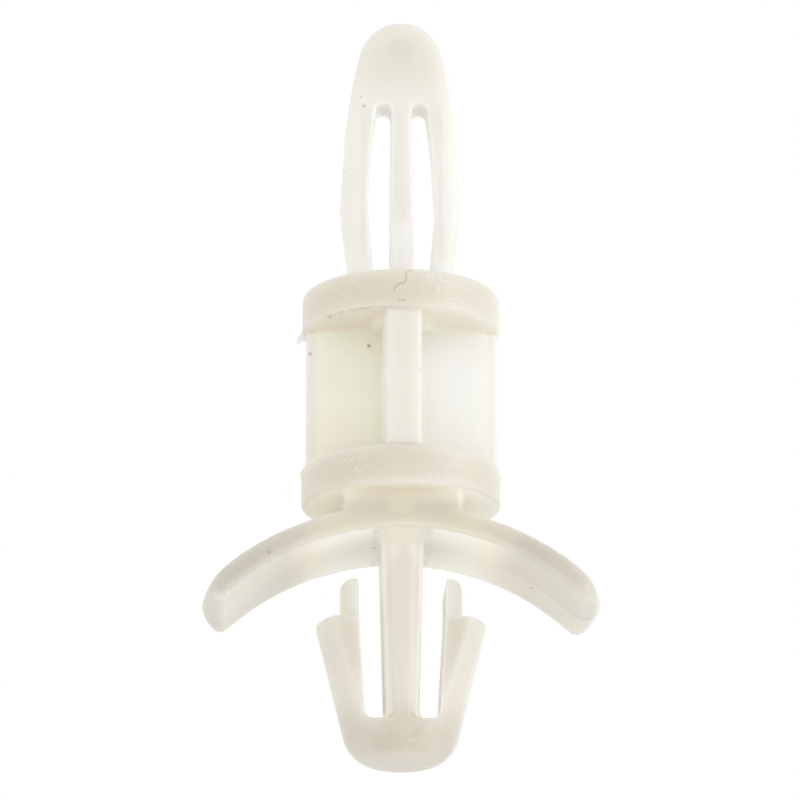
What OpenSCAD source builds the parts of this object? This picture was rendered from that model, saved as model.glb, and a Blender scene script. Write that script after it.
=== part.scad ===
// Snap-in support pillar for a circuit board: one nylon moulding, no separate pieces.
// Lengths are in millimetres. Z runs up the pillar's axis, X along the bowed spring strip,
// and Z = 0 is the plane of the barb shoulders, where the underside of the chassis panel bears.

/* [Spacer] */
// Board spacing: crown of the spring strip's underside up to the board seat
board_spacing = 9.53; // [8:0.01:14]
// Diameter of the board disc and the base disc
disc_diameter = 7.34; // [7.3:0.02:8.2]
// Thickness of each disc
disc_thickness = 1.5; // [1:0.05:2]
// Rounding of the disc edges
disc_edge = 0.16; // [0.05:0.01:0.3]
// Thickness of the rib that runs along X
rib_thickness = 1.3; // [0.8:0.05:1.6]
// Width of the front and back ribs at their outer edge
rib_edge_width = 1.28; // [0.8:0.02:1.4]
// Width of the front and back ribs at their root
rib_root_width = 1.48; // [1.4:0.02:1.9]
// How far the ribs stop short of the disc rim
rib_setback = 0.15; // [0:0.01:0.4]
// Rounding of the ribs' upright edges
rib_edge_round = 0.2; // [0.05:0.01:0.3]
// Fillet where the ribs cross
rib_fillet = 0.15; // [0.05:0.01:0.3]

/* [Board nose] */
// Height of the nose above the board seat
nose_height = 10.95; // [10.2:0.05:12.5]
// Width of the nose where it leaves the seat, for a 4 mm board hole
nose_foot_width = 3.8; // [3.4:0.05:3.9]
// Width of the nose at its widest, which holds the board down
nose_bulge_width = 4.6; // [4.4:0.05:5]
// Height of the widest place above the seat
nose_bulge_height = 3.46; // [2.6:0.02:4.2]
// Inward lean of the sides above the widest place, in degrees
nose_lean = 3.4; // [2.5:0.1:3.8]
// Radius of the long curve from the sides into the dome
nose_shoulder_radius = 22; // [18:0.5:30]
// Radius of the dome
nose_dome_radius = 1.6; // [1.4:0.02:1.7]
// Depth of the nose from front to back
nose_depth = 1.7; // [1.4:0.05:2.2]
// Rounding of the nose's outer edges
nose_edge_round = 0.6; // [0.3:0.02:0.65]
// Thickness of the two spring legs from the widest place up
nose_leg = 1.04; // [0.9:0.02:1.2]
// Thickness of the spring legs at the seat
nose_leg_foot = 0.9; // [0.7:0.02:1.1]
// Height of the windows' ceiling above the seat
nose_window_top = 7.55; // [6.8:0.05:8.2]
// Size of the windows' cut upper corners
nose_window_corner = 0.14; // [0.05:0.01:0.2]
// Width of the centre bar at the ceiling
nose_bar_top = 0.79; // [0.6:0.01:1]
// Width of the centre bar at the seat
nose_bar_foot = 0.9; // [0.6:0.01:1.1]

/* [Spring strip] */
// Gap between barb shoulders and the crown of the strip's underside
crown_gap = 3.1; // [2.9:0.02:3.6]
// Tip to tip length of the strip, seen from above
strip_span = 14.6; // [13:0.02:15.4]
// Width of the strip from front to back
strip_width = 5.8; // [5:0.05:5.85]
// Thickness of the strip
strip_thickness = 0.77; // [0.5:0.01:0.9]
// Radius of the strip's underside
strip_radius = 9.25; // [8.6:0.05:12]
// Rounding of the strip's corners, seen from above
strip_corner = 0.6; // [0.2:0.05:1]
// How far the lower edge of each tip is cut back
tip_bevel = 0.45; // [0.1:0.01:0.5]
// Height of the pad between the strip's crown and the base disc
pad_height = 0.6; // [0.3:0.01:1]
// Length of the pad along the strip
pad_length = 4.3; // [3.6:0.05:4.3]
// Rounding of the pad's upright edges
pad_round = 0.25; // [0.05:0.01:0.5]

/* [Chassis snap] */
// Diameter across the barb shoulders
barb_diameter = 6.24; // [5.6:0.02:6.8]
// Diameter that the barbs' cone would have at the slot floor
barb_foot_diameter = 4.4; // [4.2:0.02:4.8]
// Depth of the arrowhead below the shoulders
arrow_depth = 5.17; // [4.9:0.01:5.6]
// Radius that rounds the arrowhead's lower end
arrow_nose_radius = 1.4; // [0.9:0.05:1.6]
// Distance between the flats on the front and back
flat_width = 3.8; // [3.4:0.05:4.1]
// Depth of the slot floor below the shoulders
slot_depth = 3.72; // [3.4:0.02:4]
// Distance between the barbs' inner faces at the shoulders
slot_top_width = 3.14; // [3:0.02:3.4]
// Distance between the barbs' inner faces at the slot floor
slot_floor_width = 2.72; // [2.6:0.02:2.9]
// Rounding of the slot floor's corners
slot_round = 0.33; // [0.1:0.01:0.35]
// Width of the centre post at the strip
post_top_width = 1.58; // [1.4:0.02:1.8]
// Width of the centre post at the slot floor
post_foot_width = 1.2; // [1:0.02:1.3]
// How far the centre post's upright edges are cut back
post_edge = 0.36; // [0.1:0.01:0.4]
// Fillet between the centre post and the strip
post_fillet = 0.25; // [0.1:0.01:0.4]
// Diameter of the two release fingers, which pass the chassis hole
finger_diameter = 4.48; // [4.3:0.02:4.7]
// Height of the release fingers above the shoulders
finger_height = 1.54; // [1:0.02:1.8]
// Rounding of the fingers' top edges
finger_round = 0.2; // [0.05:0.01:0.25]

/* [Hidden] */
$fn = 96;

// Levels up the axis
seat_z = crown_gap + board_spacing;
strip_top_z = crown_gap + strip_thickness;
base_disc_z = strip_top_z + pad_height;
board_disc_z = seat_z - disc_thickness;
disc_r = disc_diameter / 2;
rib_reach = disc_r - rib_setback;

// Nose outline from the side line up: long curve, then dome
dome_z = nose_height - nose_dome_radius;
foot_lean = atan((nose_bulge_width - nose_foot_width) / 2 / nose_bulge_height);
lean_gap = (dome_z - nose_bulge_height) * sin(nose_lean) - nose_bulge_width / 2 * cos(nose_lean);
shoulder_ratio = (nose_shoulder_radius + lean_gap) / (nose_shoulder_radius - nose_dome_radius);
dome_angle = nose_lean + acos(min(shoulder_ratio, 0.9999));
shoulder_centre = [0, dome_z]
    - (nose_shoulder_radius - nose_dome_radius) * [cos(dome_angle), sin(dome_angle)];
side_end_z = shoulder_centre[1] + nose_shoulder_radius * sin(nose_lean);

// Spring strip
strip_centre_z = crown_gap - strip_radius;
tip_r = strip_span / 2;
tip_centre = [
    sqrt(pow(tip_r - strip_corner, 2) - pow(strip_width / 2 - strip_corner, 2)),
    strip_width / 2 - strip_corner
];

// Centre post: half width = post_a + post_b * z
post_b = (post_top_width - post_foot_width) / 2 / (crown_gap + slot_depth);
post_a = post_foot_width / 2 + post_b * slot_depth;
post_lean = atan(post_b);

// Arrowhead outline: cone, rounded lower end, flat bottom
cone_lean = atan((barb_diameter - barb_foot_diameter) / 2 / slot_depth);
round_centre = [
    (barb_diameter / 2 * cos(cone_lean) - (arrow_depth - arrow_nose_radius) * sin(cone_lean)
        - arrow_nose_radius) / cos(cone_lean),
    arrow_nose_radius - arrow_depth
];

// A rectangle with round corners
module soft_rectangle(x, y, r) {
    square([x, y - 2 * r], center = true);
    square([x - 2 * r, y], center = true);
    for (i = [-1, 1], j = [-1, 1])
        translate([i * (x / 2 - r), j * (y / 2 - r)]) circle(r);
}

// Points on an arc
function arc(centre, r, from, to, steps) =
    [for (i = [0:steps]) centre + r * [cos(from + (to - from) * i / steps),
                                       sin(from + (to - from) * i / steps)]];

// The small piece that fills a corner p with a fillet: its edges run at the angles a and b
module corner_fill(p, a, b, r) {
    half = (b - a) / 2;
    centre = p + r / sin(half) * [cos(a + half), sin(a + half)];
    polygon(concat(
        [p - r * [cos(a + half), sin(a + half)]],
        arc(centre, r, a - 90, b - 270, 8)
    ));
}

// Draws a shape given in X and Z and gives it a depth from front to back
module through(depth) {
    rotate([90, 0, 0]) linear_extrude(depth, center = true) children();
}

module disc(z) {
    translate([0, 0, z]) rotate_extrude() {
        translate([0, disc_edge]) square([disc_r, disc_thickness - 2 * disc_edge]);
        square([disc_r - disc_edge, disc_thickness]);
        for (level = [disc_edge, disc_thickness - disc_edge])
            translate([disc_r - disc_edge, level]) circle(disc_edge);
    }
}

// Outline of the crossed ribs: one quarter, from the X rib's end round to the back rib's end
module ribs() {
    root = rib_thickness / 2;
    foot = [rib_root_width / 2, root];
    edge = rib_edge_width / 2;
    lean = atan((foot[0] - edge) / (rib_reach - root));
    half = 45 + lean / 2;
    cut = rib_edge_round / 2;
    quarter = concat(
        arc([rib_reach - rib_edge_round, root - rib_edge_round], rib_edge_round, 0, 90, 8),
        arc(foot + rib_fillet / sin(half) * [cos(half), sin(half)], rib_fillet,
            -90, lean - 180, 6),
        [[edge, rib_reach - cut], [edge - cut, rib_reach]]
    );
    last = len(quarter) - 1;
    height = board_disc_z - base_disc_z;
    translate([0, 0, base_disc_z + disc_thickness / 2]) linear_extrude(height)
        polygon(concat(
            quarter,
            [for (k = [last:-1:0]) [-quarter[k][0], quarter[k][1]]],
            -quarter,
            [for (k = [last:-1:0]) [quarter[k][0], -quarter[k][1]]]
        ));
}

// A plate that leans with one side of the nose, its outer edges rounded
module side_plate(x, z, lean) {
    long = 4 * nose_height;
    translate([x, 0, z]) rotate([0, lean, 0]) translate([-nose_height / 2, 0, -long / 2])
        linear_extrude(long) soft_rectangle(nose_height, nose_depth, nose_edge_round);
}

module nose() {
    sunk = disc_thickness / 2;
    half = nose_bulge_width / 2;
    clear = half + 0.3;
    slack = 0.02;
    corner = nose_window_corner;
    inner_foot = nose_foot_width / 2 - nose_leg_foot;
    inner_bulge = half - nose_leg;
    inner_top = shoulder_centre[0] - nose_leg
        + sqrt(pow(nose_shoulder_radius, 2) - pow(nose_window_top - shoulder_centre[1], 2));
    inner_side = half - nose_leg - (side_end_z - nose_bulge_height) * tan(nose_lean);
    translate([0, 0, seat_z]) difference() {
        intersection() {
            rotate_extrude() polygon(concat(
                [[0, -sunk], [clear, -sunk], [clear, side_end_z]],
                arc(shoulder_centre, nose_shoulder_radius + slack, nose_lean, dome_angle, 10),
                arc([0, dome_z], nose_dome_radius + slack, dome_angle + 5, 85, 12),
                [[0, nose_height]]
            ));
            side_plate(half, nose_bulge_height, foot_lean);
            side_plate(half, nose_bulge_height, -nose_lean);
            mirror([1, 0, 0]) side_plate(half, nose_bulge_height, foot_lean);
            mirror([1, 0, 0]) side_plate(half, nose_bulge_height, -nose_lean);
        }
        for (side = [0, 1]) mirror([side, 0, 0]) through(2 * nose_depth) polygon([
            [nose_bar_foot / 2, 0], [inner_foot, 0], [inner_bulge, nose_bulge_height],
            [inner_side, side_end_z], [inner_top, nose_window_top - corner],
            [inner_top - corner, nose_window_top], [nose_bar_top / 2 + corner, nose_window_top],
            [nose_bar_top / 2, nose_window_top - corner]
        ]);
    }
}

module pad() {
    translate([0, 0, strip_top_z - strip_thickness / 2])
        linear_extrude(strip_thickness / 2 + pad_height + disc_thickness / 2)
            soft_rectangle(pad_length, strip_width, pad_round);
}

// Outline of the strip from above: a round plate cut to a band, with soft corners
module strip_outline() {
    turn = atan2(tip_centre[1], tip_centre[0]);
    end = concat(
        arc([tip_centre[0], -tip_centre[1]], strip_corner, -90, -turn, 8),
        arc([0, 0], tip_r, -turn * 0.9, turn * 0.9, 18),
        arc(tip_centre, strip_corner, turn, 90, 8)
    );
    polygon(concat(end, -end));
}

// A point at a radius and an angle from straight up, measured from the strip's centre line
function round_the_strip(r, angle) = r * [sin(angle), cos(angle)];

module strip() {
    outer = strip_radius + strip_thickness;
    turn = asin(tip_r / outer);
    step = tip_bevel / strip_radius * 180 / PI;
    end = [
        round_the_strip(strip_radius - 0.3 * tip_bevel, turn - 1.2 * step),
        round_the_strip(strip_radius + 0.3 * tip_bevel, turn - 0.3 * step),
        round_the_strip(strip_radius + tip_bevel, turn),
        round_the_strip(2 * outer, turn)
    ];
    difference() {
        intersection() {
            translate([0, 0, strip_centre_z]) rotate([90, 0, 0])
                cylinder(h = 2 * strip_width, r = outer, center = true, $fn = 360);
            translate([0, 0, -slot_depth]) linear_extrude(3 * crown_gap) strip_outline();
            translate([0, 0, strip_centre_z]) through(2 * strip_width) polygon(concat(
                [[0, 0]], end, [[0, 4 * outer]],
                [for (k = [3:-1:0]) [-end[k][0], end[k][1]]]
            ));
        }
        translate([0, 0, strip_centre_z]) rotate([90, 0, 0])
            cylinder(h = 3 * strip_width, r = strip_radius, center = true, $fn = 360);
    }
}

// The tapered centre post, its upright edges cut back, with fillets up into the strip
module post() {
    low = -slot_depth - (arrow_depth - slot_depth) / 3;
    high = crown_gap + strip_thickness / 2;
    side = sqrt(2) * post_edge;
    foot = post_a + post_b * low;
    top = post_a + post_b * crown_gap;
    difference() {
        through(flat_width) polygon([
            [-foot, low], [foot, low],
            [post_a + post_b * high, high], [-post_a - post_b * high, high]
        ]);
        for (i = [-1, 1], j = [-1, 1]) translate([i * foot, j * flat_width / 2, low])
            rotate([0, i * post_lean, 0]) rotate([0, 0, 45])
                cube([side, side, 4 * (high - low)], center = true);
    }
    for (i = [0, 1]) mirror([i, 0, 0]) through(flat_width - 2 * post_edge)
        corner_fill([top, crown_gap - (1 - cos(asin(top / strip_radius))) * strip_radius],
            -90 - post_lean, -asin(top / strip_radius), post_fillet);
}

module arrowhead() {
    wall_lean = atan((slot_top_width - slot_floor_width) / 2 / slot_depth);
    half = 45 + wall_lean / 2;
    corner = [slot_floor_width / 2, -slot_depth]
        + slot_round / sin(half) * [-sin(half), cos(half)];
    wall = concat(
        arc(corner, slot_round, -90, -wall_lean, 8),
        [[slot_top_width - slot_floor_width / 2, slot_depth]]
    );
    last = len(wall) - 1;
    difference() {
        intersection() {
            rotate_extrude() polygon(concat(
                [[0, 0], [barb_diameter / 2, 0]],
                arc(round_centre, arrow_nose_radius, -cone_lean, -90, 16),
                [[0, -arrow_depth]]
            ));
            cube([2 * barb_diameter, flat_width, 4 * arrow_depth], center = true);
        }
        through(2 * flat_width)
            polygon(concat(wall, [for (k = [last:-1:0]) [-wall[k][0], wall[k][1]]]));
    }
    for (i = [0, 1]) mirror([i, 0, 0]) through(flat_width - 2 * post_edge)
        corner_fill([post_foot_width / 2, -slot_depth], 0, 90 - post_lean, slot_round);
}

// The two release fingers that stand on the barbs
module fingers() {
    finger_r = finger_diameter / 2;
    inner = slot_top_width / 2;
    sunk = slot_depth / 4;
    intersection() {
        translate([0, 0, -sunk]) cylinder(h = 2 * sunk + finger_height, r = finger_r);
        for (side = [0, 1]) mirror([side, 0, 0]) through(2 * finger_diameter) polygon(concat(
            [[inner, -2 * sunk], [finger_diameter, -2 * sunk]],
            [[finger_diameter, finger_height - finger_round]],
            arc([finger_r - finger_round, finger_height - finger_round], finger_round, 20, 90, 6),
            arc([inner + finger_round, finger_height - finger_round], finger_round, 90, 180, 6)
        ));
    }
}

module support_pillar() {
    color([0.87, 0.84, 0.76]) union() {
        nose();
        disc(board_disc_z);
        ribs();
        disc(base_disc_z);
        pad();
        strip();
        post();
        arrowhead();
        fingers();
    }
}

support_pillar();
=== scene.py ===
import math

import bpy
import numpy as np
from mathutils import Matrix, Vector
from mathutils.bvhtree import BVHTree


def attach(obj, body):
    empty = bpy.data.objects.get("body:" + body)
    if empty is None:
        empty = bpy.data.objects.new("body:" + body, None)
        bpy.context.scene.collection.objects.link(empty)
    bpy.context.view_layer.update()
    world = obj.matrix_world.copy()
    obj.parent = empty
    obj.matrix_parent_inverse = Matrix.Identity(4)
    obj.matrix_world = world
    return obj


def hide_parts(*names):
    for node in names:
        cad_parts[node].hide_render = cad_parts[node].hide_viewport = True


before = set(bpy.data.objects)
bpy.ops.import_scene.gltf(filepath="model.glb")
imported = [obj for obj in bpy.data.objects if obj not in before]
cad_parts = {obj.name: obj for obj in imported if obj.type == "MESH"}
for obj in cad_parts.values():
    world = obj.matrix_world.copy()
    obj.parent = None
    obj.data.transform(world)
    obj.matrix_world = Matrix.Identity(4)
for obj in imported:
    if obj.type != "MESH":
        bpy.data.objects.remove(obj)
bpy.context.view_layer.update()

# Moulding
# The pillar is one shot of natural nylon from a mould that opens from front to back, so nose,
# discs, ribs, strip and arrowhead are one skin. It is shaped in millimetres, then set to metres.
per_metre = 1000
weld_distance = 0.002
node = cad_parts["support_pillar"]
moulding = bpy.data.objects.new("pillar_moulding", node.data.copy())
bpy.context.scene.collection.objects.link(moulding)
bpy.ops.object.select_all(action="DESELECT")
moulding.select_set(True)
bpy.context.view_layer.objects.active = moulding
bpy.ops.transform.resize(value=(per_metre,) * 3, center_override=(0, 0, 0))
bpy.ops.object.transform_apply(location=True, rotation=True, scale=True)
bpy.ops.object.mode_set(mode="EDIT")
bpy.ops.mesh.select_all(action="SELECT")
bpy.ops.mesh.remove_doubles(threshold=weld_distance)
bpy.ops.object.mode_set(mode="OBJECT")

# Flash
# Where the mould halves met, a curl of nylon was squeezed out below the board disc's left edge,
# and a speck of it on each side of the base disc's upper edge. They are fused into the skin.
flash_drops = (
    ((-3.68, -0.1, 11.06), (0.24, 0.16, 0.13), 35),
    ((-3.79, -0.15, 10.92), (0.1, 0.12, 0.18), -20),
    ((-3.68, -0.1, 5.76), (0.07, 0.16, 0.07), 0),
    ((3.68, -0.1, 5.72), (0.07, 0.16, 0.07), 0),
)
for place, half_sizes, lean in flash_drops:
    bpy.ops.object.select_all(action="DESELECT")
    bpy.ops.mesh.primitive_ico_sphere_add(subdivisions=3, radius=1, location=place)
    bpy.ops.transform.resize(value=half_sizes)
    bpy.ops.transform.rotate(value=math.radians(lean), orient_axis="Y", center_override=place)
    bpy.ops.object.transform_apply(location=True, rotation=True, scale=True)
    moulding.select_set(True)
    bpy.context.view_layer.objects.active = moulding
    bpy.ops.object.join()

# Skin
# Moulded nylon has no sharp edge: every one is drawn in by the cooling melt. One even skin over
# all the shapes is smoothed by about a tenth of a millimetre, and more on the wings, their tips
# and the nose, which the real mould rounds. Then it is thinned to its final mesh.
skin_step = 0.07
most_triangles = 190000
skin = moulding.modifiers.new("skin", "REMESH")
skin.mode = "VOXEL"
skin.voxel_size = skin_step
bpy.ops.object.modifier_apply(modifier="skin")
softened = (
    ("whole", -10, 30, 0, 6),
    ("wings", 0, 4, 3, 12),
    ("tips", -1, 2, 6.2, 24),
    ("nose", 12.9, 30, 0, 30),
)
for name, lowest, highest, nearest, passes in softened:
    chosen = [vertex.index for vertex in moulding.data.vertices
              if lowest < vertex.co.z < highest and abs(vertex.co.x) >= nearest]
    moulding.vertex_groups.new(name=name).add(chosen, 1, "REPLACE")
    soft = moulding.modifiers.new(name, "SMOOTH")
    soft.factor = 0.5
    soft.iterations = passes
    soft.vertex_group = name
    bpy.ops.object.modifier_apply(modifier=name)
lighter = moulding.modifiers.new("lighter", "DECIMATE")
lighter.ratio = min(1, most_triangles / (2 * len(moulding.data.polygons)))
bpy.ops.object.modifier_apply(modifier="lighter")
bpy.ops.object.shade_smooth()

# Shelter
# Nylon passes light, so a corner that its own walls shelter glows with what they let through, and
# the sections below paint that glow into the colour. Each point of the skin keeps how close the walls
# around it stand, from one straight ray and eight that lean. Neighbours then share their values,
# because light spreads in the nylon.
ray_length = 4.0
ray_start = 0.01
straight_weight = 0.2
leaning_weight = 0.1
leaning_rays = 8
ray_lean = 1.4
sharing_steps = 14
mesh = moulding.data
walls = BVHTree.FromObject(moulding, bpy.context.evaluated_depsgraph_get())
closeness = []
for vertex in mesh.vertices:
    across = vertex.normal.orthogonal().normalized()
    other = vertex.normal.cross(across)
    start = vertex.co + ray_start * vertex.normal
    rays = [(vertex.normal, straight_weight)]
    for turn in range(leaning_rays):
        angle = 2 * math.pi * turn / leaning_rays
        outward = math.cos(angle) * across + math.sin(angle) * other
        rays.append((vertex.normal + ray_lean * outward, leaning_weight))
    gap = 0
    for ray, weight in rays:
        reach = walls.ray_cast(start, ray.normalized(), ray_length)[3]
        gap += weight * (ray_length if reach is None else reach)
    closeness.append(1 - gap / ray_length)
closeness = np.array(closeness)
edges = np.array([edge.vertices for edge in mesh.edges])
neighbours = np.maximum(np.bincount(edges.ravel(), minlength=len(closeness)), 1)
for step in range(sharing_steps):
    summed = np.bincount(edges[:, 0], closeness[edges[:, 1]], len(closeness))
    summed += np.bincount(edges[:, 1], closeness[edges[:, 0]], len(closeness))
    closeness = (closeness + summed / neighbours) / 2
kept_shelter = mesh.attributes.new("shelter", "FLOAT", "POINT")
kept_shelter.data.foreach_set("value", closeness.astype(np.float32))
bpy.ops.transform.resize(value=(1 / per_metre,) * 3, center_override=(0, 0, 0))
bpy.ops.object.transform_apply(location=True, rotation=True, scale=True)


# Nylon
# The whole piece is one natural nylon, milky and semi-gloss, whose shade changes with the thickness
# of each stretch. The next sections paint it stretch by stretch, by places in millimetres, with
# painted light and shade where noted.
class Signal:
    """An output socket of a node tree, for use in plain sums."""

    def __init__(self, tree, socket=None):
        self.tree = tree
        self.socket = socket

    def node(self, kind, settings, inputs, output=0):
        """Adds a node, sets it up, fills or links its sockets and gives one of its outputs."""
        made = self.tree.nodes.new(kind)
        for name, value in settings.items():
            setattr(made, name, value)
        for key, value in inputs.items():
            if isinstance(value, Signal):
                self.tree.links.new(value.socket, made.inputs[key])
            else:
                made.inputs[key].default_value = value
        return Signal(self.tree, made.outputs[output] if made.outputs else None)

    def math(self, operation, first, second):
        return self.node("ShaderNodeMath", {"operation": operation}, {0: first, 1: second})

    def clamped(self):
        return self.node("ShaderNodeClamp", {}, {"Value": self})

    def __add__(self, other):
        return self.math("ADD", self, other)

    def __sub__(self, other):
        return self.math("SUBTRACT", self, other)

    def __rsub__(self, other):
        return self.math("SUBTRACT", other, self)

    def __mul__(self, other):
        return self.math("MULTIPLY", self, other)

    __radd__ = __add__
    __rmul__ = __mul__


nylon = bpy.data.materials.new("natural_nylon")
nylon.use_nodes = True
nylon.node_tree.nodes.clear()
paint = Signal(nylon.node_tree)
metres = paint.node("ShaderNodeTexCoord", {}, {}, "Object")
spot = paint.node("ShaderNodeVectorMath", {"operation": "SCALE"}, {0: metres, "Scale": per_metre})
side, depth, height = (paint.node("ShaderNodeSeparateXYZ", {}, {0: spot}, axis) for axis in range(3))
shelter = paint.node("ShaderNodeAttribute", {"attribute_name": "shelter"}, {}, "Fac")


def fade(value, low, high):
    """0 below low, 1 above high and an even passage between them, or the reverse if low is more."""
    return paint.node("ShaderNodeMapRange", {"interpolation_type": "SMOOTHSTEP"},
                      {"Value": value, "From Min": low, "From Max": high})


def band(value, start, full, last, end):
    """Rises from 0 at start to 1 at full, and falls from 1 at last to 0 at end."""
    return fade(value, start, full) * fade(value, end, last)


def by_side(start, full):
    """Fades by the distance from the axis to the left and to the right alike."""
    return fade(side * side, start**2, full**2)


def by_depth(start, full):
    """Fades by the distance from the axis to the front and to the back alike."""
    return fade(depth * depth, start**2, full**2)


def blend(share, first, second):
    """Mixes two colours."""
    return paint.node("ShaderNodeMix", {"data_type": "RGBA"}, {0: share, 6: first, 7: second}, 2)


# Nose
# The looped nose is thin, so its nylon is the palest, and a little duller in the solid tip. Painted
# shade darkens the fronts of the legs and the centre bar. The walls of its two windows are painted
# near white, as light reaching them all around.
board_top = 12.63
pillar_nylon = (0.815, 0.79, 0.725, 1)
nose_nylon = (0.87, 0.853, 0.80, 1)
tip_nylon = (0.80, 0.775, 0.70, 1)
leg_front_painted_shade = (0.78, 0.765, 0.715, 1)
window_painted_light = (0.985, 0.967, 0.92, 1)
above = fade(height, board_top - 0.03, board_top + 0.07)
colour = blend(above, pillar_nylon, nose_nylon)
colour = blend(fade(height, 19.5, 22.0) * 0.9, colour, tip_nylon)
legs = by_side(0.77, 0.89) * by_side(1.61, 1.48) * above
centre_bar = by_side(0.63, 0.55) * fade(height, 15.2, 16.0)
shaded_fronts = (legs + centre_bar) * fade(height, 20.5, 19.5) * fade(depth, -0.7, -0.8)
colour = blend(shaded_fronts * 0.7, colour, leg_front_painted_shade)
windows = above * fade(height, 21.2, 20.8) * by_side(1.55, 1.45) * by_depth(0.81, 0.71)
colour = blend(windows, colour, window_painted_light)

# Discs
# The board disc and the base disc are the thickest nylon, and their rims the warmest in colour.
# Their undersides are painted paler where the ribs and the pad stand close, as light through walls.
board_bottom = 11.13
base_top = 5.97
base_bottom = 4.47
rim_nylon = (0.735, 0.69, 0.59, 1)
underside_painted_light = (0.80, 0.755, 0.655, 1)
discs = band(height, board_bottom - 0.13, board_bottom - 0.01, board_top - 0.03, board_top + 0.03)
discs = discs + band(height, base_bottom - 0.07, base_bottom + 0.01, base_top - 0.01, base_top + 0.07)
colour = blend(discs, colour, rim_nylon)
undersides = 0.0
for bottom, reach in ((board_bottom, 0.13), (base_bottom, 0.17)):
    undersides = undersides + band(height, bottom - reach, bottom - 0.01, bottom + 0.01, bottom + 0.04)
colour = blend(undersides * fade(shelter, 0.08, 0.22), colour, underside_painted_light)

# Post and arrowhead
# The nylon of the post and the barbs is a little duller than the nose, and darker towards the bottom,
# the foot most. The flats carry painted shade. The thin release fingers that stand on the barbs are
# pale, the left one painted darker as shade and the right one lighter as lit by the lamp.
post_nylon = (0.765, 0.732, 0.65, 1)
flat_painted_shade = (0.68, 0.65, 0.56, 1)
cone_nylon = (0.64, 0.595, 0.51, 1)
foot_nylon = (0.57, 0.53, 0.435, 1)
bottom_nylon = (0.70, 0.665, 0.585, 1)
left_finger_painted_shade = (0.90, 0.88, 0.765, 1)
right_finger_painted_light = (0.95, 0.93, 0.87, 1)
below = fade(height, 3.2, 2.8)
colour = blend(below, colour, post_nylon)
flats = fade(height, 0.3, 0.0) * by_side(0.84, 1.05) * by_depth(1.82, 1.87)
colour = blend(flats * 0.9, colour, flat_painted_shade)
colour = blend(fade(height, -2.4, -4.4) * 0.9, colour, cone_nylon)
foot = band(height, -5.0, -4.75, -4.4, -4.1) * by_side(1.26, 0.45)
colour = blend(foot * fade(depth, -0.8, -1.4) * 0.6, colour, foot_nylon)
colour = blend(fade(height, -4.8, -5.05) * 0.5, colour, bottom_nylon)
fingers = band(height, 0.0, 0.1, 1.6, 1.8) * by_side(1.22, 1.48) * by_side(2.65, 2.45)
finger_lit_and_shaded = blend(fade(side, -1.0, 1.0), left_finger_painted_shade, right_finger_painted_light)
colour = blend(fingers, colour, finger_lit_and_shaded)

# Strip
# The bowed spring strip is painted grey as shade, most of all at the tips of its wings, and its flat
# front darker still. Its underside is painted pale beside the post, as light through the walls, and
# lighter behind the parting line on the right wing. Its flat front runs on into the front of the pad
# above it, painted lighter towards its top against the base disc's shade.
root_underside_painted_light = (0.985, 0.945, 0.82, 1)
wing_underside_painted_shade = (0.695, 0.66, 0.585, 1)
wing_tip_painted_shade = (0.55, 0.52, 0.465, 1)
rear_half = (0.84, 0.81, 0.73, 1)
root_front_painted_shade = (0.69, 0.645, 0.53, 1)
wing_front_painted_shade = (0.58, 0.548, 0.485, 1)
pad_front_painted_light = (0.85, 0.805, 0.68, 1)
root = fade(height, 1.9, 2.3) * by_side(0.95, 1.18)
wings = by_side(3.29, 3.46)
strip = paint.math("MAXIMUM", root, wings) * fade(height, 4.0, 3.85)
outer = by_side(2.0, 4.36)
colour = blend(strip, colour, blend(outer, root_underside_painted_light, wing_underside_painted_shade))
colour = blend(by_side(6.32, 6.86) * strip * 0.6, colour, wing_tip_painted_shade)
right_rear = fade(depth, 0.15, 0.25) * fade(side, 2.6, 3.2)
colour = blend(strip * right_rear * 0.4, colour, rear_half)
front = (strip + band(height, 2.9, 3.05, 4.46, 4.5)).clamped()
front = front * by_depth(2.55, 2.83) * by_depth(3.13, 3.03)
front_light_and_shade = blend(outer, root_front_painted_shade, wing_front_painted_shade)
front_light_and_shade = blend(fade(height, 3.75, 4.4), front_light_and_shade, pad_front_painted_light)
colour = blend(front, colour, front_light_and_shade)

# Light through the walls
# Where walls stand close, light comes through them; it is painted into the colour, nearly white:
# between the ribs, in the slots and windows, and under the strip. The right side, by the lamp, gets
# painted light too and is the whitest.
left_light = (0.99, 0.94, 0.84, 1)
right_light = (0.992, 0.97, 0.91, 1)
nose_light = (0.99, 0.967, 0.905, 1)
post_light = (0.995, 0.955, 0.87, 1)
right_painted_light = (0.93, 0.93, 0.92, 1)
glow = fade(shelter + 0.06 * below + 0.1 * above - 0.13 * discs, 0.12, 0.3)
beside_pad = band(height, 3.9, 4.1, 4.7, 5.0)
shaft = by_side(0.81, 0.71) * by_depth(1.61, 1.73) * below
glow = glow * (1 - front) * (1 - 0.25 * beside_pad) * (1 - 0.5 * shaft) * (1 - 0.7 * fingers)
right = fade(side, -1.0, 2.0) * fade(height, 3.8, 4.5)
light = blend(right, left_light, right_light)
light = blend(above, light, nose_light)
light = blend(below, light, post_light)
colour = blend(glow * 0.97, colour, light)
colour = blend(right * 0.1, colour, right_painted_light)


# Cloudiness
# The melt cooled unevenly, so the milkiness of the nylon drifts over the piece in soft patches of
# a few millimetres.
def noise(scale, detail=3.0):
    return paint.node("ShaderNodeTexNoise", {}, {"Vector": spot, "Scale": scale, "Detail": detail})


cloudy_nylon = (0.80, 0.755, 0.65, 1)
colour = blend(fade(noise(0.45), 0.35, 0.7) * 0.2, colour, cloudy_nylon)


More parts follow.
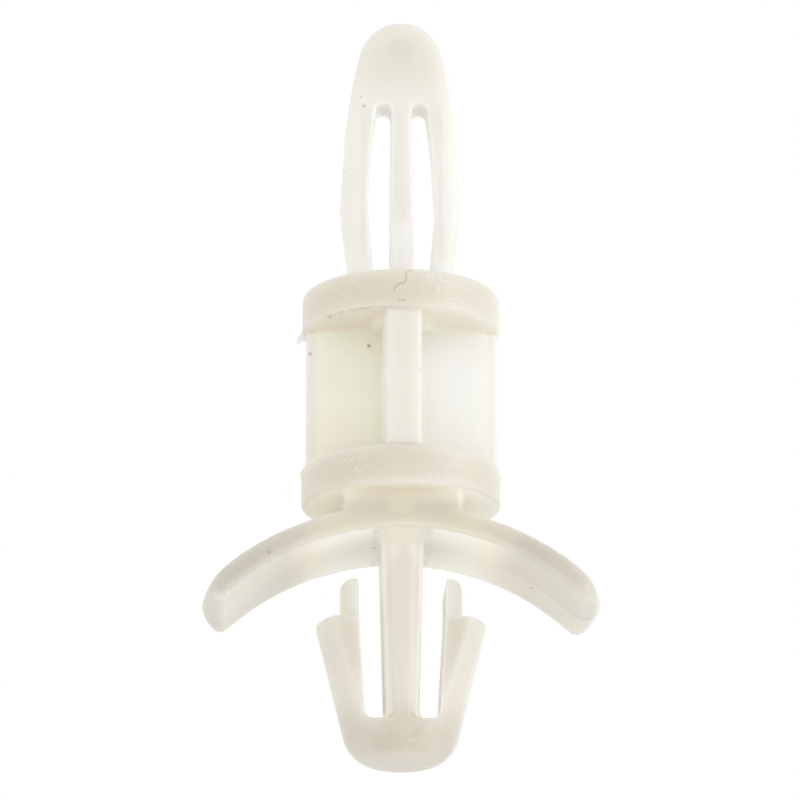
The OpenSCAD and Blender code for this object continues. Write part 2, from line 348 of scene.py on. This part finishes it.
# Mould marks
# Four ejector pins pressed round marks on the front, and the gate left a rough spot underneath. The
# worn mould left curls of rough flecks on the disc rims, raised in the relief and painted pale as
# glints. Painted glints also sit on the nose's centre bar and along the edge of the left wing.
def from_point(point):
    """Distance in millimetres from a point of the piece."""
    return paint.node("ShaderNodeVectorMath", {"operation": "DISTANCE"}, {0: spot, 1: point}, 1)


rim_radius = 3.67


def on_rim(x, z):
    """The point on the front of the disc rims at this side and height."""
    return (x, -math.sqrt(rim_radius**2 - x**2), z)


pins = (
    (-0.07, -0.85, 22.25, 0.52, 0.15, (0.68, 0.64, 0.53, 1)),
    (-0.09, -3.66, 11.91, 0.6, 0.2, (0.76, 0.71, 0.60, 1)),
    (-0.03, -2.9, 4.07, 0.6, 0.3, (0.84, 0.79, 0.63, 1)),
    (0.03, -1.9, -3.92, 0.6, 0.5, (0.72, 0.67, 0.575, 1)),
)
gate = (0.07, -1.48, -4.96)
worn_places = (
    (-2.0, 11.9, 1.0),
    (1.1, 12.1, 0.9),
    (2.0, 11.7, 1.1),
    (-1.9, 5.1, 1.0),
    (1.4, 4.95, 1.0),
)
glints = (
    (-0.22, -0.85, 15.9),
    (0.22, -0.85, 15.85),
    (0.27, -0.85, 14.4),
    (-6.3, -2.65, 0.62),
    (-5.9, -2.65, 0.95),
    (-5.6, -2.65, 1.22),
    (-5.05, -2.65, 1.6),
    (-4.65, -2.65, 1.85),
)
fleck_and_glint_highlight = (0.95, 0.935, 0.88, 1)
relief = 0.02 * noise(6.0)
for x, y, z, radius, share, pressed in pins:
    away = from_point((x, y, z))
    ring = band(away, radius - 0.07, radius - 0.02, radius + 0.02, radius + 0.07)
    relief = relief - 0.6 * share * ring
    colour = blend(fade(away, radius, radius - 0.08) * share, colour, pressed)
relief = relief + 0.3 * fade(from_point(gate), 0.2, 0.1)
worn = 0.0
for x, z, size in worn_places:
    worn = worn + fade(from_point(on_rim(x, z)), size, 0.4 * size)
rims = band(height, 11.25, 11.4, 12.4, 12.55) + band(height, 4.3, 4.5, 5.8, 6.0)
swirl = noise(4.5, 2.0) - 0.5
flecks_and_glints = fade(swirl * swirl, 0.0012, 0.0003) * worn * rims
for glint in glints:
    flecks_and_glints = flecks_and_glints + fade(from_point(glint), 0.13, 0.06)
flecks_and_glints = flecks_and_glints.clamped()
relief = relief + 0.4 * flecks_and_glints
colour = blend(flecks_and_glints * 0.35, colour, fleck_and_glint_highlight)


# Dark specks
# Scorched grains of nylon sit in the surface. The board disc has one curved hairline, a dash below
# it and a dark seam along the lower edge of its rim. The mould halves met along the right wing.
def from_line(start, end):
    """Distance in millimetres from a straight stretch between two points."""
    along = Vector(end) - Vector(start)
    away = paint.node("ShaderNodeVectorMath", {"operation": "SUBTRACT"}, {0: spot, 1: start})
    share = paint.node("ShaderNodeVectorMath", {"operation": "DOT_PRODUCT"},
                       {0: away, 1: along / along.length_squared}, 1)
    foot = paint.node("ShaderNodeVectorMath", {"operation": "SCALE"},
                      {0: along, "Scale": share.clamped()})
    return paint.node("ShaderNodeVectorMath", {"operation": "DISTANCE"}, {0: away, 1: foot}, 1)


specks = (
    (-1.21, -0.65, 10.58, 0.1, 0.9),
    (-3.39, -0.64, 10.25, 0.1, 0.8),
    (-2.68, -2.31, 11.14, 0.09, 0.8),
    (0.6, -3.46, 8.78, 0.06, 0.6),
    (0.78, -2.0, 11.13, 0.08, 0.6),
    (-4.84, -2.9, 2.04, 0.07, 0.8),
    (-0.95, 0.06, 3.03, 0.11, 0.9),
    (4.81, 0.75, 1.75, 0.1, 1.2),
    (-1.42, -0.85, 20.0, 0.08, 0.7),
    (-1.54, -0.84, 20.37, 0.06, 0.6),
    (-2.12, -0.57, 17.49, 0.06, 0.7),
    (-2.1, -3.0, 6.0, 0.06, 0.6),
    (-0.35, -3.64, 6.05, 0.07, 0.5),
    (2.07, -3.03, 6.0, 0.06, 0.5),
)
hairline = (
    (0.28, 12.52),
    (0.12, 12.5),
    (0.06, 12.42),
    (0.06, 12.2),
    (0.03, 12.09),
    (-0.05, 12.03),
    (-0.2, 12.0),
    (-0.33, 11.9),
    (-0.39, 11.76),
)
dash = ((-0.2, -3.66, 11.37), (0.02, -3.67, 11.37))
parting_depth = 0.2
scorched = (0.2, 0.17, 0.12, 1)
dirt = 0.0
for x, y, z, size, share in specks:
    dirt = dirt + share * fade(from_point((x, y, z)), size, 0.3 * size)
hair = from_line(*dash)
for start, end in zip(hairline, hairline[1:]):
    hair = paint.math("MINIMUM", hair, from_line(on_rim(*start), on_rim(*end)))
level = paint.node("ShaderNodeVectorMath", {"operation": "MULTIPLY"}, {0: spot, 1: (1, 1, 0)})
from_axis = paint.node("ShaderNodeVectorMath", {"operation": "LENGTH"}, {0: level}, 1)
seam = band(from_axis, 3.5, 3.56, 3.66, 3.72) * band(height, 11.04, 11.1, 11.18, 11.24)
seam = seam * fade(depth, -2.0, -2.4) * fade(side, -0.4, -0.8)
seam = seam * (0.4 + 0.6 * fade(noise(3.0), 0.4, 0.6))
off_parting = depth - parting_depth
parting = fade(off_parting * off_parting, 0.004, 0.0005) * fade(side, 2.9, 3.4) * strip
dirt = dirt + (0.15 + 0.2 * fade(side, 4.8, 5.4)) * parting
dirt = (dirt + 0.45 * fade(hair, 0.05, 0.015) + 0.4 * seam).clamped()
colour = blend(dirt * 0.65, colour, scorched)

# Finish
# The mould was satin, so the nylon has a soft gloss with faint unevenness. Light enters it and
# scatters over about a millimetre. The finished skin takes the place of the plain moulding.
bump = paint.node("ShaderNodeBump", {}, {"Height": relief, "Strength": 0.6, "Distance": 0.0001})
shader = paint.node("ShaderNodeBsdfPrincipled", {"subsurface_method": "RANDOM_WALK"}, {
    "Base Color": colour,
    "Roughness": 0.3 + 0.12 * noise(3.0),
    "Normal": bump,
    "IOR": 1.53,
    "Subsurface Weight": 1.0,
    "Subsurface Radius": (1.0, 1.0, 1.0),
    "Subsurface Scale": 0.001,
})
paint.node("ShaderNodeOutputMaterial", {}, {"Surface": shader})
mesh.materials.clear()
mesh.materials.append(nylon)
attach(moulding, "root")
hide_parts("support_pillar")

# Floor
# A plain pale table, matt and even. It lies far below the piece, which is held up as its chassis
# would hold it.
floor_size = 4
floor_height = -0.12
bpy.ops.mesh.primitive_plane_add(size=floor_size, location=(0, 0, floor_height))
floor = bpy.context.object
floor.name = "floor"
pale = bpy.data.materials.new("pale_floor")
pale.use_nodes = True
floor_shader = pale.node_tree.nodes["Principled BSDF"]
floor_shader.inputs["Base Color"].default_value = (0.9, 0.9, 0.9, 1)
floor_shader.inputs["Roughness"].default_value = 0.8
floor.data.materials.append(pale)

# Studio light
# A white surround lights the piece from everywhere. Four soft lamps stand around it, the strongest
# on the right, and weaker ones on the left, below the front and behind.
world = bpy.data.worlds.new("studio")
bpy.context.scene.world = world
world.use_nodes = True
world.node_tree.nodes.clear()
air = Signal(world.node_tree)
seen = (air.node("ShaderNodeLightPath", {}, {}, "Is Camera Ray")
        + air.node("ShaderNodeLightPath", {}, {}, "Is Glossy Ray")
        + air.node("ShaderNodeLightPath", {}, {}, "Is Transmission Ray")).clamped()
surround = 0.875
strength = surround + (1 - surround) * seen
sky = air.node("ShaderNodeBackground", {}, {"Color": (1, 1, 1, 1), "Strength": strength})
air.node("ShaderNodeOutputWorld", {}, {"Surface": sky})

target = Vector((0, 0, 0.0087))
lamps = (
    ("key", (0.2, -0.1, 0.04), 0.12, 0.075),
    ("fill", (-0.13, -0.08, -0.07), 0.12, 0.027),
    ("low", (0.06, -0.05, -0.11), 0.1, 0.03),
    ("back", (0.08, 0.2, 0.06), 0.2, 0.04),
)
for name, place, size, power in lamps:
    lamp_data = bpy.data.lights.new(name, "AREA")
    lamp_data.size = size
    lamp_data.energy = power
    lamp = bpy.data.objects.new(name, lamp_data)
    lamp.location = place
    lamp.rotation_mode = "QUATERNION"
    lamp.rotation_quaternion = (target - Vector(place)).to_track_quat("-Z", "Y")
    bpy.context.scene.collection.objects.link(lamp)

# Camera
# It stands a little below the piece and slightly to the left, as the photograph's did, and looks
# up at the middle of the pillar.
azimuth = math.radians(-2)
elevation = math.radians(-17.2)
distance = 0.154
frame_width = 0.02963
image_pixels = 800
axis_pixel = 401
camera_data = bpy.data.cameras.new("camera")
camera_data.lens = camera_data.sensor_width * distance / frame_width
camera_data.shift_x = (image_pixels / 2 - axis_pixel) / image_pixels
camera_data.clip_start = 0.005
camera_data.clip_end = 10
camera = bpy.data.objects.new("camera", camera_data)
back = Vector((math.sin(azimuth) * math.cos(elevation), -math.cos(azimuth) * math.cos(elevation),
               math.sin(elevation)))
camera.location = target + distance * back
camera.rotation_mode = "QUATERNION"
camera.rotation_quaternion = (-back).to_track_quat("-Z", "Y")
bpy.context.scene.collection.objects.link(camera)
bpy.context.scene.camera = camera
bpy.context.scene.view_settings.view_transform = "Standard"
